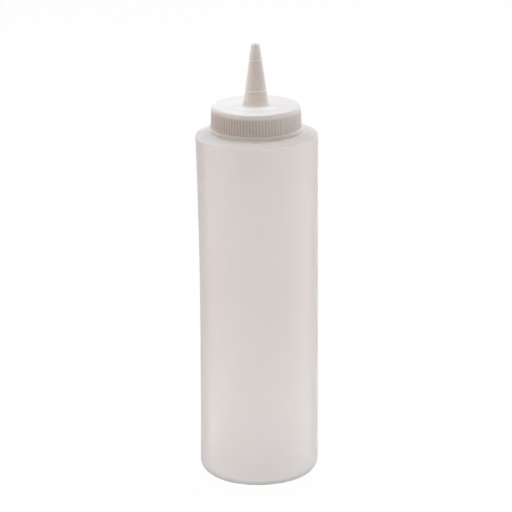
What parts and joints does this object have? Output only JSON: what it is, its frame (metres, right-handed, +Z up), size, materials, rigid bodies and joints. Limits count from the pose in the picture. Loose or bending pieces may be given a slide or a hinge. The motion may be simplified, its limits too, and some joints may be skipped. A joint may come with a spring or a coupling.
{
  "type": "sauce dispenser bottle",
  "caption": "Round squeeze bottle for sauces with a milky translucent body and a white ribbed screw cap that carries a tapered spout.",
  "frame": {"origin": "centre of the foot, on the plane that the bottle stands on", "axes": "+Z up along the bottle's axis, towards the tip of the spout; X and Y square to it"},
  "size_m": [0.0584, 0.0584, 0.2124],
  "materials": {
    "milky_plastic": "blow-moulded soft plastic, milky and translucent",
    "white_plastic": "moulded plastic, satin",
    "soft_seal": "soft sheet, matt"
  },
  "bodies": {
    "bottle": {"bottle": "milky_plastic"},
    "seal": {"seal_ring": "soft_seal"},
    "cap": {"cap": "white_plastic"}
  },
  "joints": [
    {"name": "cap_lift", "type": "slide", "parent": "bottle", "child": "seal", "axis": [0, 0, 1], "range_m": [0, 0.01271]},
    {"name": "cap_turn", "type": "hinge", "parent": "seal", "child": "cap", "pos_m": [0, 0, 0.1804], "axis": [0, 0, 1], "range_deg": [0, 1080]}
  ],
  "couplings": [
    {"joint": "cap_lift", "follows": "cap_turn", "m_per_rad": 0.00067376}
  ]
}
